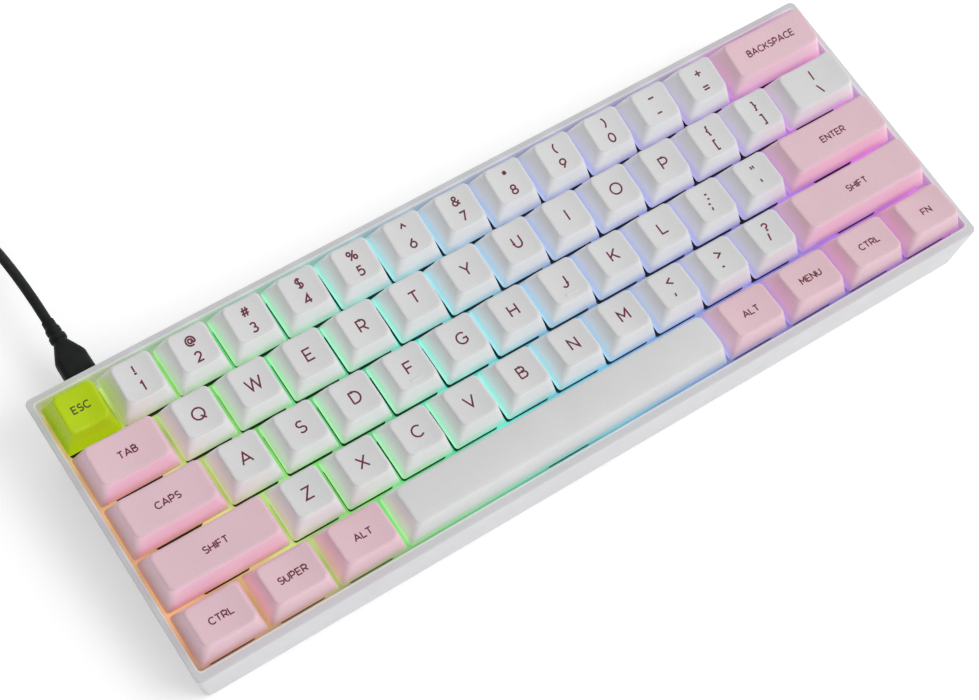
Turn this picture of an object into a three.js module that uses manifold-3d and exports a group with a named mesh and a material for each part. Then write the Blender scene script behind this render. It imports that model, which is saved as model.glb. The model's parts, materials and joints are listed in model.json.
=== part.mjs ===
// A compact 61-key mechanical keyboard with a detachable cable.
// Millimetres, +Z up, +X to the user's right, +Y away from the user.
// The origin is on the table, under the middle of the keyboard.
import * as THREE from 'three';
import { mergeVertices } from 'three/addons/utils/BufferGeometryUtils.js';
import Module from 'manifold-3d';

const wasm = await Module();
wasm.setup();

// Driving dimensions -------------------------------------------------------

const KEY_PITCH = 19.05;
const ROW_COUNT = 5;
const ROW_UNITS = 15;
const TYPING_ANGLE = THREE.MathUtils.degToRad(6);
const GAP = 0.3;

// The deck is the tilted plane of the keycaps' lower edges. Deck heights are
// measured square to it, with the deck's y = 0 in the middle of the case.
const SIDE_BEZEL = 2.9;
const BACK_BEZEL = 3.05;
const FRONT_BEZEL = 3.8;
const FIELD_WIDTH = ROW_UNITS * KEY_PITCH;
const FIELD_DEPTH = ROW_COUNT * KEY_PITCH;
const CASE_WIDTH = FIELD_WIDTH + 2 * SIDE_BEZEL;
const CASE_DEPTH = FIELD_DEPTH + BACK_BEZEL + FRONT_BEZEL;
const FIELD_BACK = CASE_DEPTH / 2 - BACK_BEZEL;
const FIELD_FRONT = FRONT_BEZEL - CASE_DEPTH / 2;

const FOOT_HEIGHT = 1.2;
const CASE_BOTTOM = FOOT_HEIGHT + GAP;
const FRONT_HEIGHT = 20;
const RIM_HEIGHT = 2.1;
const FLOOR_THICKNESS = 2.5;
const CASE_CORNER_RADIUS = 2;
const WELL_MARGIN = 0.6;
const WELL_KNEE = -5;
const WALL_THICKNESS = 1.5;

// How far the outer walls lean in for each millimetre that they go down, at the
// sides (x) and at the front and the back (y).
const WALL_DRAFT = new THREE.Vector2(0.157, 0.14);

const CAP_SPACING = 0.9;
const CAP_WALL = 1.5;
const CAP_ROOF = 1.8;
const CAP_SIDE_LEAN = 2.6;
const CAP_BACK_LEAN = 3;
const CAP_FRONT_LEAN = 1.8;
const CAP_CORNER = 1.6;
const KEY_TRAVEL = 4;

const PLATE_TOP = -6.3;
const PLATE_THICKNESS = 1.5;
const CUTOUT = 14;
const BOARD_TOP = PLATE_TOP - 5;
const BOARD_THICKNESS = 1.6;
const HOUSING_FLANGE = 15.6;
const HOUSING_TOP_SIZE = 11;
const HOUSING_TOP = 0.3;
const SLIDER = new THREE.Vector2(6.4, 5.2);
const SLIDER_CLEARANCE = 0.4;
const SLIDER_REACH = 4;

const PORT_X = KEY_PITCH - FIELD_WIDTH / 2;
const PORT_HEIGHT = 3.26;
const PORT_WIDTH = 8.94;
const PORT_LENGTH = 7.3;
const PORT_AXIS = BOARD_TOP - BOARD_THICKNESS - GAP - PORT_HEIGHT / 2;
const PLUG_WIDTH = 10.6;
const PLUG_THICKNESS = 6.2;
const CABLE_DIAMETER = 3.4;
const COIL_INNER_RADIUS = 11.5;
const COIL_OUTER_RADIUS = 29.6;
const COIL_LAYERS = 2;
const COIL_CENTRE = new THREE.Vector2(PORT_X - COIL_OUTER_RADIUS, 156);

const COLOURS = {
  white: '#e9e7e6',
  pink: '#e3b4c4',
  lime: '#a9c814',
  board: '#1d2420',
  metal: '#c9ccd0',
  rubber: '#3a3a3c',
  black: '#161718',
};

// Rows from the back to the front: the widths of their keys in key units, and
// the heights of their tops at the back and at the front edge. A name starting
// with * is a pink key.
const KEY_ROWS = [
  {
    keys: [
      ['esc', 1], ['1', 1], ['2', 1], ['3', 1], ['4', 1], ['5', 1], ['6', 1], ['7', 1],
      ['8', 1], ['9', 1], ['0', 1], ['minus', 1], ['equals', 1], ['*backspace', 2],
    ],
    back: 12.2,
    front: 10,
  },
  {
    keys: [
      ['*tab', 1.5], ['q', 1], ['w', 1], ['e', 1], ['r', 1], ['t', 1], ['y', 1], ['u', 1],
      ['i', 1], ['o', 1], ['p', 1], ['left_bracket', 1], ['right_bracket', 1],
      ['backslash', 1.5],
    ],
    back: 11,
    front: 9.9,
  },
  {
    keys: [
      ['*caps_lock', 1.75], ['a', 1], ['s', 1], ['d', 1], ['f', 1], ['g', 1], ['h', 1],
      ['j', 1], ['k', 1], ['l', 1], ['semicolon', 1], ['quote', 1], ['*enter', 2.25],
    ],
    back: 10.3,
    front: 10.3,
  },
  {
    keys: [
      ['*left_shift', 2.25], ['z', 1], ['x', 1], ['c', 1], ['v', 1], ['b', 1], ['n', 1],
      ['m', 1], ['comma', 1], ['period', 1], ['slash', 1], ['*right_shift', 2.75],
    ],
    back: 10.4,
    front: 11.2,
  },
  {
    keys: [
      ['*left_ctrl', 1.25], ['*left_super', 1.25], ['*left_alt', 1.25], ['space', 6.25],
      ['*right_alt', 1.25], ['*menu', 1.25], ['*right_ctrl', 1.25], ['*fn', 1.25],
    ],
    back: 9.6,
    front: 10.6,
  },
];

// Closed surfaces ------------------------------------------------------------

// A flat outline of a rectangle with rounded corners, counter-clockwise.
function roundedOutline(width, depth, radius, cornerSteps) {
  const outline = [];
  for (let corner = 0; corner < 4; corner += 1) {
    const centreX = (corner === 0 || corner === 3 ? 1 : -1) * (width / 2 - radius);
    const centreY = (corner < 2 ? 1 : -1) * (depth / 2 - radius);
    for (let step = 0; step <= cornerSteps; step += 1) {
      const angle = ((corner + step / cornerSteps) * Math.PI) / 2;
      outline.push(
        new THREE.Vector2(centreX + radius * Math.cos(angle), centreY + radius * Math.sin(angle)),
      );
    }
  }
  return outline;
}

// A closed surface through a chain of rings with equal numbers of points. The
// first and the last ring are closed with a fan of triangles.
function skin(rings) {
  const count = rings[0].length;
  const points = rings.flat();
  const triangles = [];
  for (let ring = 0; ring + 1 < rings.length; ring += 1) {
    for (let i = 0; i < count; i += 1) {
      const a = ring * count + i;
      const b = ring * count + ((i + 1) % count);
      triangles.push(a, b, b + count, a, b + count, a + count);
    }
  }
  const last = (rings.length - 1) * count;
  for (let i = 1; i + 1 < count; i += 1) {
    triangles.push(0, i + 1, i);
    triangles.push(last, last + i, last + i + 1);
  }
  const geometry = new THREE.BufferGeometry();
  geometry.setAttribute(
    'position',
    new THREE.Float32BufferAttribute(points.flatMap((point) => point.toArray()), 3),
  );
  geometry.setIndex(triangles);
  return geometry;
}

// A ring of 3-D points: an outline moved sideways, at a height that may depend
// on the point.
function ringAt(outline, height, shift = new THREE.Vector2()) {
  return outline.map((point) => {
    const moved = point.clone().add(shift);
    return new THREE.Vector3(moved.x, moved.y, typeof height === 'function' ? height(moved.y) : height);
  });
}

function boxBetween(low, high) {
  const size = new THREE.Vector3().subVectors(high, low);
  const centre = new THREE.Vector3().addVectors(low, high).multiplyScalar(0.5);
  const geometry = new THREE.BoxGeometry(size.x, size.y, size.z);
  return geometry.translate(centre.x, centre.y, centre.z);
}

// Joining and cutting ----------------------------------------------------------

function toSolid(geometry) {
  const bare = geometry.clone();
  bare.deleteAttribute('normal');
  bare.deleteAttribute('uv');
  const merged = mergeVertices(bare);
  return new wasm.Manifold(
    new wasm.Mesh({
      numProp: 3,
      vertProperties: new Float32Array(merged.attributes.position.array),
      triVerts: new Uint32Array(merged.index.array),
    }),
  );
}

function toGeometry(solid) {
  const mesh = solid.getMesh();
  const geometry = new THREE.BufferGeometry();
  geometry.setAttribute('position', new THREE.BufferAttribute(mesh.vertProperties, 3));
  geometry.setIndex(new THREE.BufferAttribute(mesh.triVerts, 1));
  return geometry;
}

function joined(geometries) {
  return geometries.map(toSolid).reduce((whole, piece) => whole.add(piece));
}

// The scene graph ----------------------------------------------------------------

const keyboard = new THREE.Group();

// The deck's origin stands so that the front rim has its height, and the case is
// centred on the origin as seen from above.
const deck = new THREE.Group();
deck.rotation.x = TYPING_ANGLE;
deck.position.y = RIM_HEIGHT * Math.sin(TYPING_ANGLE);
deck.position.z =
  CASE_BOTTOM +
  FRONT_HEIGHT +
  (CASE_DEPTH / 2) * Math.sin(TYPING_ANGLE) -
  RIM_HEIGHT * Math.cos(TYPING_ANGLE);
deck.updateMatrix();
keyboard.add(deck);

function addPiece(parent, name, geometry, colour, roughness, metalness = 0) {
  geometry.computeVertexNormals();
  const material = new THREE.MeshStandardMaterial({ color: colour, roughness, metalness });
  const mesh = new THREE.Mesh(geometry, material);
  mesh.name = name;
  parent.add(mesh);
}

// A ring on the deck at a deck height, given in the keyboard's own frame.
function deckRing(width, depth, radius, height) {
  const ring = ringAt(roundedOutline(width, depth, radius, 4), height);
  return ring.map((point) => point.applyMatrix4(deck.matrix));
}

// The keys -------------------------------------------------------------------------

// Every key with its centre on the deck, its size and the heights of its top.
const keys = KEY_ROWS.flatMap((row, rowIndex) => {
  let left = -FIELD_WIDTH / 2;
  return row.keys.map(([label, units]) => {
    const width = units * KEY_PITCH;
    const key = {
      name: label.replace('*', ''),
      colour: label.startsWith('*') ? COLOURS.pink : COLOURS.white,
      inNumberRow: rowIndex === 0 && units === 1 && label !== 'esc',
      centre: new THREE.Vector2(left + width / 2, FIELD_BACK - (rowIndex + 0.5) * KEY_PITCH),
      width: width - CAP_SPACING,
      depth: KEY_PITCH - CAP_SPACING,
      back: row.back,
      front: row.front,
    };
    left += width;
    return key;
  });
});

// A hollow keycap with its slider, made as one surface that runs from the foot of
// the slider up to the roof, down inside the skirt and up over the outside.
function keycap(key) {
  const lean = CAP_BACK_LEAN - CAP_FRONT_LEAN;
  const topWidth = key.width - 2 * CAP_SIDE_LEAN;
  const topDepth = key.depth - CAP_BACK_LEAN - CAP_FRONT_LEAN;
  const topShift = new THREE.Vector2(0, -lean / 2);
  const roof = Math.min(key.back, key.front) - CAP_ROOF;
  const slope = (key.back - key.front) / topDepth;
  const topHeight = (y) => key.front + slope * (y - topShift.y + topDepth / 2);
  const slider = roundedOutline(SLIDER.x, SLIDER.y, 0.5, 1);
  const outside = roundedOutline(key.width, key.depth, CAP_CORNER, 1);
  const inside = roundedOutline(key.width - 2 * CAP_WALL, key.depth - 2 * CAP_WALL, CAP_CORNER / 2, 1);
  const ceiling = roundedOutline(topWidth - CAP_WALL, topDepth - CAP_WALL, CAP_CORNER / 2, 1);
  const top = roundedOutline(topWidth, topDepth, CAP_CORNER, 1);
  return skin([
    ringAt(slider, -SLIDER_REACH),
    ringAt(slider, roof),
    ringAt(ceiling, roof, topShift),
    ringAt(inside, 0),
    ringAt(outside, 0),
    ringAt(top, topHeight, topShift),
  ]);
}

function addKeys() {
  for (const key of keys.filter((each) => !each.inNumberRow)) {
    const place = new THREE.Group();
    place.position.set(key.centre.x, key.centre.y, 0);
    deck.add(place);
    const colour = key.name === 'esc' ? COLOURS.lime : key.colour;
    addPiece(place, `${key.name}_key`, keycap(key), colour, 0.55);
  }
}

// The twelve keycaps of the number row, linked by a thin web at every gap.
function numberRow() {
  const row = keys.filter((key) => key.inNumberRow);
  const caps = row.map((key) => keycap(key).translate(key.centre.x, key.centre.y, 0));
  const webs = row.slice(1).map((key) => {
    const middle = new THREE.Vector3(key.centre.x - KEY_PITCH / 2, key.centre.y, 1.2);
    const reach = new THREE.Vector3(CAP_SPACING / 2 + 0.6, 1.5, 0.5);
    return boxBetween(middle.clone().sub(reach), middle.clone().add(reach));
  });
  return toGeometry(joined([...caps, ...webs]));
}

// The case ---------------------------------------------------------------------------

// The ring at a level height that the leaning outer walls reach from the rim, or
// that surfaces parallel to them reach, further in by an inset.
function wallRing(height, inset) {
  const rim = deckRing(CASE_WIDTH, CASE_DEPTH, CASE_CORNER_RADIUS, RIM_HEIGHT);
  return rim.map((point) => {
    const drop = point.z - height;
    const shareX = 1 - (WALL_DRAFT.x * drop + inset) / (CASE_WIDTH / 2);
    const shareY = 1 - (WALL_DRAFT.y * drop + inset) / (CASE_DEPTH / 2);
    return new THREE.Vector3(point.x * shareX, point.y * shareY, height);
  });
}

// The well is open on top, with upright walls round the keycaps, and below them
// walls that follow the outer ones down to a level floor.
function caseWell() {
  const width = FIELD_WIDTH + 2 * WELL_MARGIN;
  const depth = FIELD_DEPTH + 2 * WELL_MARGIN;
  const middle = new THREE.Vector2(0, (FIELD_BACK + FIELD_FRONT) / 2);
  const outline = roundedOutline(width, depth, 1, 4);
  const onDeck = (height) => ringAt(outline, height, middle).map((point) => point.applyMatrix4(deck.matrix));
  const floor = wallRing(CASE_BOTTOM + FLOOR_THICKNESS, WALL_THICKNESS);
  return toSolid(skin([floor, onDeck(WELL_KNEE), onDeck(RIM_HEIGHT), onDeck(RIM_HEIGHT + 5)]));
}

// Posts that carry the circuit board, with their feet in the floor.
function boardPosts() {
  const radius = 2.6;
  const top = BOARD_TOP - BOARD_THICKNESS - GAP;
  const posts = [];
  for (const x of [-FIELD_WIDTH * 0.42, 0, FIELD_WIDTH * 0.42]) {
    for (const y of [-1.5 * KEY_PITCH, 1.1 * KEY_PITCH]) {
      const head = new THREE.Vector3(x, y, top).applyMatrix4(deck.matrix);
      const foot = CASE_BOTTOM + FLOOR_THICKNESS / 2;
      const height = head.z - foot - radius * Math.sin(TYPING_ANGLE);
      const post = new THREE.CylinderGeometry(radius, radius, height, 10);
      posts.push(post.rotateX(Math.PI / 2).translate(head.x, head.y, foot + height / 2));
    }
  }
  return joined(posts);
}

// The hole in the back wall that the cable's plug goes through.
function portHole() {
  const outline = roundedOutline(PLUG_WIDTH + 0.8, PLUG_THICKNESS + 0.8, 3, 4);
  const ringY = (y) => outline.map((point) => new THREE.Vector3(PORT_X + point.x, y, PORT_AXIS + point.y));
  const hole = skin([ringY(CASE_DEPTH / 2 + 5), ringY(FIELD_BACK - 4)]);
  return toSolid(hole.applyMatrix4(deck.matrix));
}

function addCase() {
  const rim = deckRing(CASE_WIDTH, CASE_DEPTH, CASE_CORNER_RADIUS, RIM_HEIGHT);
  const tray = toSolid(skin([wallRing(CASE_BOTTOM, 0), rim])).subtract(caseWell()).add(boardPosts()).subtract(portHole());
  addPiece(keyboard, 'case', toGeometry(tray), COLOURS.white, 0.45);
}

// Rubber strips glued under the front and the back of the case.
function addFeet() {
  const length = CASE_WIDTH - 40;
  const width = 8;
  for (const [name, y] of [['front_foot', -40], ['back_foot', 40]]) {
    const outline = roundedOutline(length, width, width / 2, 4);
    const shift = new THREE.Vector2(0, y);
    const strip = skin([ringAt(outline, 0, shift), ringAt(outline, FOOT_HEIGHT, shift)]);
    addPiece(keyboard, name, strip, COLOURS.rubber, 0.9);
  }
}

// The switch plate and the circuit board ------------------------------------------------

function addSwitchPlate() {
  const bottom = PLATE_TOP - PLATE_THICKNESS;
  const outline = roundedOutline(FIELD_WIDTH - 1.2, FIELD_DEPTH - 1.2, 1, 2);
  const sheet = skin([ringAt(outline, bottom), ringAt(outline, PLATE_TOP)]);
  const cutouts = keys.map((key) => {
    const middle = new THREE.Vector3(key.centre.x, key.centre.y, PLATE_TOP);
    const reach = new THREE.Vector3(CUTOUT / 2, CUTOUT / 2, 2 * PLATE_THICKNESS);
    return boxBetween(middle.clone().sub(reach), middle.clone().add(reach));
  });
  const plate = toSolid(sheet).subtract(joined(cutouts));
  addPiece(deck, 'switch_plate', toGeometry(plate), COLOURS.white, 0.5);
}

// A switch housing, soldered to the board: one surface from the floor of the
// slider's shaft up to the mouth, over the flange and down to the board.
function switchHousing(key) {
  const square = (size) => roundedOutline(size, size, 0.5, 1);
  const shaft = roundedOutline(SLIDER.x + 2 * SLIDER_CLEARANCE, SLIDER.y + 2 * SLIDER_CLEARANCE, 0.5, 1);
  const shaftFloor = -SLIDER_REACH - KEY_TRAVEL - GAP;
  const flangeTop = PLATE_TOP + GAP + 1;
  const at = (outline, height) => ringAt(outline, height, key.centre);
  return skin([
    at(square(CUTOUT - 2 * GAP), BOARD_TOP - BOARD_THICKNESS / 2),
    at(square(CUTOUT - 2 * GAP), PLATE_TOP + GAP),
    at(square(HOUSING_FLANGE), PLATE_TOP + GAP),
    at(square(HOUSING_FLANGE), flangeTop),
    at(square(HOUSING_TOP_SIZE), HOUSING_TOP),
    at(shaft, HOUSING_TOP),
    at(shaft, shaftFloor),
  ]);
}

function addCircuitBoard() {
  const board = boxBetween(
    new THREE.Vector3(-FIELD_WIDTH / 2 + 1.5, FIELD_FRONT + 1, BOARD_TOP - BOARD_THICKNESS),
    new THREE.Vector3(FIELD_WIDTH / 2 - 1.5, FIELD_BACK - 1.8, BOARD_TOP),
  );
  const whole = joined([board, ...keys.map(switchHousing)]);
  addPiece(deck, 'circuit_board', toGeometry(whole), COLOURS.board, 0.6);
}

// An outline standing square to the port's axis, at a place along that axis.
function portRing(width, thickness, radius, y) {
  const outline = roundedOutline(width, thickness, radius, 4);
  return outline.map((point) => new THREE.Vector3(PORT_X - point.x, y, PORT_AXIS + point.y));
}

// The socket hangs under the board's back edge, with its open mouth to the back.
function addUsbSocket() {
  const mouth = FIELD_BACK - 2;
  const back = mouth - PORT_LENGTH;
  const innerWidth = PORT_WIDTH - 0.7;
  const innerHeight = PORT_HEIGHT - 0.7;
  const shell = skin([
    portRing(PORT_WIDTH, PORT_HEIGHT, 1.3, back),
    portRing(PORT_WIDTH, PORT_HEIGHT, 1.3, mouth),
    portRing(innerWidth, innerHeight, 1, mouth),
    portRing(innerWidth, innerHeight, 1, back + 1),
  ]);
  addPiece(deck, 'usb_socket', shell, COLOURS.metal, 0.35, 0.9);
}

// The cable ---------------------------------------------------------------------------

const PLUG_START = CASE_DEPTH / 2 - 3.6;
const PLUG_SHOULDER = CASE_DEPTH / 2 + 13.9;
const PLUG_NECK = PLUG_SHOULDER + 5.5;
const PLUG_END = PLUG_NECK + 6.9;
const NECK_DIAMETER = 5;

// The plug: a metal tongue in the socket, then a moulded grip that tapers to the neck.
function addCablePlug() {
  const neckEnd = CABLE_DIAMETER + 0.9;
  const plug = skin([
    portRing(7.4, 1.6, 0.7, PLUG_START - 5),
    portRing(7.4, 1.6, 0.7, PLUG_START),
    portRing(PLUG_WIDTH, PLUG_THICKNESS, 2.2, PLUG_START),
    portRing(PLUG_WIDTH, PLUG_THICKNESS, 2.2, PLUG_SHOULDER),
    portRing(NECK_DIAMETER, NECK_DIAMETER, NECK_DIAMETER / 2 - 0.01, PLUG_NECK),
    portRing(neckEnd, neckEnd, neckEnd / 2 - 0.01, PLUG_END),
  ]);
  addPiece(deck, 'cable_plug', plug, COLOURS.black, 0.6);
}

// The free stretch of the cable, from the plug down to the table and on to the coil.
const CABLE_ROUTE = [
  [PORT_X, 79.1, 18.4],
  [PORT_X, 83, 18.7],
  [PORT_X, 87, 18.8],
  [PORT_X, 91, 18.6],
  [PORT_X, 95, 18.1],
  [PORT_X, 100, 17.2],
  [PORT_X, 105, 15.9],
  [PORT_X, 110, 14.2],
  [PORT_X, 115, 12.1],
  [PORT_X, 120, 9.7],
  [PORT_X, 125, 7.3],
  [PORT_X, 130, 5.1],
  [PORT_X, 135, 3.3],
  [PORT_X, 140.8, 2.1],
];

function addCableLead() {
  const points = CABLE_ROUTE.map((point) => new THREE.Vector3(...point));
  const curve = new THREE.CatmullRomCurve3(points);
  const section = new THREE.Shape();
  section.absarc(0, 0, CABLE_DIAMETER / 2, 0, 2 * Math.PI);
  const lead = new THREE.ExtrudeGeometry(section, {
    steps: 14,
    curveSegments: 4,
    extrudePath: curve,
    bevelEnabled: false,
  });
  addPiece(keyboard, 'cable_lead', lead, COLOURS.black, 0.6);
}

// The outer shape of the spare cable, wound into a flat coil on the table.
function addCableCoil() {
  const outer = COIL_OUTER_RADIUS + CABLE_DIAMETER / 2;
  const inner = COIL_INNER_RADIUS - CABLE_DIAMETER / 2;
  const height = COIL_LAYERS * (CABLE_DIAMETER + 0.05);
  const profile = [
    new THREE.Vector2(inner, 0),
    new THREE.Vector2(outer, 0),
    new THREE.Vector2(outer, height),
    new THREE.Vector2(inner, height),
    new THREE.Vector2(inner, 0),
  ];
  const coil = new THREE.LatheGeometry(profile, 32);
  coil.rotateX(Math.PI / 2).translate(COIL_CENTRE.x, COIL_CENTRE.y, 0.01);
  addPiece(keyboard, 'cable_coil', coil, COLOURS.black, 0.6);
}

// The plug for the computer, beside the coil on the side away from the lead. Its
// sleeve meets the coil where the last turn leaves it.
function addUsbAPlug() {
  const x = COIL_CENTRE.x - COIL_OUTER_RADIUS;
  const sleeveStart = COIL_CENTRE.y - 15.5;
  const grip = sleeveStart - 11;
  const mouth = grip - 22;
  const tip = mouth - 18.7;
  const axis = 4.1;
  const ring = (width, thickness, radius, y, height = axis) =>
    roundedOutline(width, thickness, radius, 3).map(
      (point) => new THREE.Vector3(x + point.x, y, height + point.y),
    );
  const sleeve = CABLE_DIAMETER + 0.6;
  const plug = skin([
    ring(sleeve, sleeve, sleeve / 2 - 0.01, sleeveStart, axis + 0.9),
    ring(NECK_DIAMETER + 1, NECK_DIAMETER + 1, 2.5, grip),
    ring(15.5, 8, 2, grip - 3),
    ring(15.5, 8, 2, mouth),
    ring(12, 4.5, 0.4, mouth),
    ring(12, 4.5, 0.4, tip),
  ]);
  addPiece(keyboard, 'usb_a_plug', plug, COLOURS.black, 0.55);
}

addCase();
addFeet();
addSwitchPlate();
addCircuitBoard();
addUsbSocket();
addPiece(deck, 'number_row_keys', numberRow(), COLOURS.white, 0.55);
addKeys();
addCablePlug();
addCableLead();
addCableCoil();
addUsbAPlug();

export default keyboard;
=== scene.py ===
"""Looks of a compact 61-key mechanical keyboard with a detachable cable.

Sizes are in millimetres, and each piece turns them into metres as its mesh is made. Only the camera,
the floor and the light are placed in metres. "Deck" places are measured on the tilted plane of the
keycaps' lower edges, and "table" places in the row frame.
"""

import colorsys
import json
import math

import bmesh
import bpy
from mathutils import Matrix, Quaternion, Vector


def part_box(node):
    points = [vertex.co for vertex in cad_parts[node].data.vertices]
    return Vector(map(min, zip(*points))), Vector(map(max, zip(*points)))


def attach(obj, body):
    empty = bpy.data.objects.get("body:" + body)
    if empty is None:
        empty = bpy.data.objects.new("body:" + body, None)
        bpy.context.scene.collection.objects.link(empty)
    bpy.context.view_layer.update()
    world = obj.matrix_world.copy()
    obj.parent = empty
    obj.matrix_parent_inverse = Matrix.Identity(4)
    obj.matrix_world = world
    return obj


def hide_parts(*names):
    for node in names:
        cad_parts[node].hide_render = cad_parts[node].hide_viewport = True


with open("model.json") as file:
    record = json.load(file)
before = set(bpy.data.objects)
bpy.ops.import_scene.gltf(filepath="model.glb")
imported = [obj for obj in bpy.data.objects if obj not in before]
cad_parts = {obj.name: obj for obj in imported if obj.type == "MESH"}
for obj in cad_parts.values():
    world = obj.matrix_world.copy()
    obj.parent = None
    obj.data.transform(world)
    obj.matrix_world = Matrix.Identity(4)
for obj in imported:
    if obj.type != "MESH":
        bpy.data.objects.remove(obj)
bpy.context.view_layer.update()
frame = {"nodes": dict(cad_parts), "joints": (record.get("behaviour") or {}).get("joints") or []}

# Sizes ------------------------------------------

KEY_PITCH = 19.05
FIELD_COLUMNS = 15
FIELD_ROWS = 5
CAP_SPACING = 0.9
SLIDER_REACH = 4
SIDE_BEZEL = 2.9
BACK_BEZEL = 3.05
FRONT_BEZEL = 3.8
FIELD_WIDTH = FIELD_COLUMNS * KEY_PITCH
FIELD_DEPTH = FIELD_ROWS * KEY_PITCH
FIELD_MIDDLE = (FRONT_BEZEL - BACK_BEZEL) / 2
FIELD_BACK = FIELD_MIDDLE + FIELD_DEPTH / 2
CASE_WIDTH = FIELD_WIDTH + 2 * SIDE_BEZEL
CASE_DEPTH = FIELD_DEPTH + BACK_BEZEL + FRONT_BEZEL
CASE_BOTTOM = 1.5
CASE_CORNER = 2
FLOOR_THICKNESS = 2.5
WALL_THICKNESS = 1.5
RIM_HEIGHT = 2.1
WELL_MARGIN = 0.6

# Where the straight inner walls of the case end and turn outwards.
WELL_KNEE = -5

# How far the case's outer walls lean in for each millimetre that they go down, in x and in y.
WALL_DRAFT = (0.157, 0.14)

CAP_WALL = 1.5
CAP_ROOF = 1.8
SIDE_LEAN = 2.6
BACK_LEANS = (3.7, 3, 3, 3, 3)
FRONT_LEAN = 1.8
SKIRT_CORNER = 1
TOP_CORNER = 2.1
EDGE_ROUNDING = 0.9
DISH_DEPTH = 0.65
CROWN_HEIGHT = 0.7

PLATE_TOP = -6.3
BOARD_TOP = PLATE_TOP - 5
BOARD_THICKNESS = 1.6
BOARD_GAP = 0.3
SOCKET_THICKNESS = 3.26
PORT_X = KEY_PITCH - FIELD_WIDTH / 2
PORT_AXIS = BOARD_TOP - BOARD_THICKNESS - BOARD_GAP - SOCKET_THICKNESS / 2
CABLE_DIAMETER = 3.4

# Heights of the keycaps' tops at their back and front edges, from the back row to the front row.
ROW_HEIGHTS = ((12.2, 10), (11, 9.9), (10.3, 10.3), (10.4, 11.2), (9.6, 10.6))

# The joints' axis is square to the deck, and tells how steeply the deck is tilted.
press_axis = Vector(frame["joints"][0]["axis"])
TILT = math.atan2(press_axis.y, -press_axis.z)
TABLE = Matrix.Scale(0.001, 4)


def tilted_box(node):
    """The lowest and the highest corner of a CAD node, in millimetres along the deck's own axes."""
    turn = Matrix.Rotation(-TILT, 3, "X")
    points = [turn @ vertex.co * 1000 for vertex in frame["nodes"][node].data.vertices]
    low = Vector([min(point[axis] for point in points) for axis in range(3)])
    high = Vector([max(point[axis] for point in points) for axis in range(3)])
    return low, high


def deck_matrix():
    """Turns deck places in millimetres into row-frame places in metres."""
    back_edge = tilted_box("number_row_keys")[1].y
    front_corner = tilted_box("space_key")[0]
    middle = (back_edge + front_corner.y) / 2
    origin = Vector((0, middle - FIELD_MIDDLE, front_corner.z + SLIDER_REACH))
    return TABLE @ Matrix.Rotation(TILT, 4, "X") @ Matrix.Translation(origin)


DECK = deck_matrix()

# A key is its node's name without "_key", its width in key units, and its legends from the top down.
# A name starting with * is a pink key.


def letter_keys(letters):
    return [(letter.lower(), 1, letter) for letter in letters]


def wide_keys(*keys):
    return [("*" + name, 1.25, text) for name, text in keys]


# The rows of keys, from the back to the front.
KEYS = (
    [("esc", 1, "ESC")]
    + [(pair[1], 1, pair) for pair in ("!1", "@2", "#3", "$4", "%5", "^6", "&7", "*8", "(9", ")0")]
    + [("minus", 1, "_-"), ("equals", 1, "+="), ("*backspace", 2, "BACKSPACE")],
    [("*tab", 1.5, "TAB")] + letter_keys("QWERTYUIOP")
    + [("left_bracket", 1, "{["), ("right_bracket", 1, "}]"), ("backslash", 1.5, "|\\")],
    [("*caps_lock", 1.75, "CAPS")] + letter_keys("ASDFGHJKL")
    + [("semicolon", 1, ":;"), ("quote", 1, "\"'"), ("*enter", 2.25, "ENTER")],
    [("*left_shift", 2.25, "SHIFT")] + letter_keys("ZXCVBNM")
    + [("comma", 1, "<,"), ("period", 1, ">."), ("slash", 1, "?/"), ("*right_shift", 2.75, "SHIFT")],
    wide_keys(("left_ctrl", "CTRL"), ("left_super", "SUPER"), ("left_alt", "ALT"))
    + [("space", 6.25, "")]
    + wide_keys(("right_alt", "ALT"), ("menu", "MENU"), ("right_ctrl", "CTRL"), ("fn", "FN")),
)
HOMING_KEYS = ("f", "j")
HOMING_BAR_Y = -5.2

# The camera -------------------------------------

CAMERA_PLACE = Vector((-0.23385, -0.27230, 0.61240))
CAMERA_AIM = Vector((-0.01549, -0.00506, 0.025))
CAMERA_ROLL = math.radians(6.105)
CAMERA_LENS = 81.1
SENSOR_WIDTH = 36


def add_camera():
    data = bpy.data.cameras.new("camera")
    data.lens = CAMERA_LENS
    data.sensor_width = SENSOR_WIDTH
    data.clip_start = 0.01
    camera = bpy.data.objects.new("camera", data)
    bpy.context.scene.collection.objects.link(camera)
    camera.rotation_mode = "QUATERNION"
    camera.location = CAMERA_PLACE
    look = (CAMERA_AIM - CAMERA_PLACE).to_track_quat("-Z", "Y")
    camera.rotation_quaternion = look @ Quaternion((0, 0, 1), CAMERA_ROLL)
    bpy.context.scene.camera = camera


add_camera()

# Outlines and rings -----------------------------


def outline(width, depth, radius, corner=5, along_x=1, along_y=2):
    """A rectangle with rounded corners, counter-clockwise from the middle of its right side.

    corner, along_x and along_y are the numbers of steps in each corner and along the sides, and
    along_y is even. The points above the x axis mirror the ones below it.
    """
    reach_x = width / 2 - radius
    reach_y = depth / 2 - radius
    centres = [(reach_x, reach_y), (-reach_x, reach_y), (-reach_x, -reach_y), (reach_x, -reach_y)]
    points = []
    for quarter, centre in enumerate(centres):
        for step in range(corner + 1):
            angle = math.radians(90 * (quarter + step / corner))
            points.append(Vector(centre) + radius * Vector((math.cos(angle), math.sin(angle))))
        following = Vector(centres[(quarter + 1) % 4]) - Vector(centre)
        start = points[-1]
        count = along_y if quarter % 2 else along_x
        points.extend(start + following * step / count for step in range(1, count))
    half = along_y // 2
    return points[-half:] + points[:-half]


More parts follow.
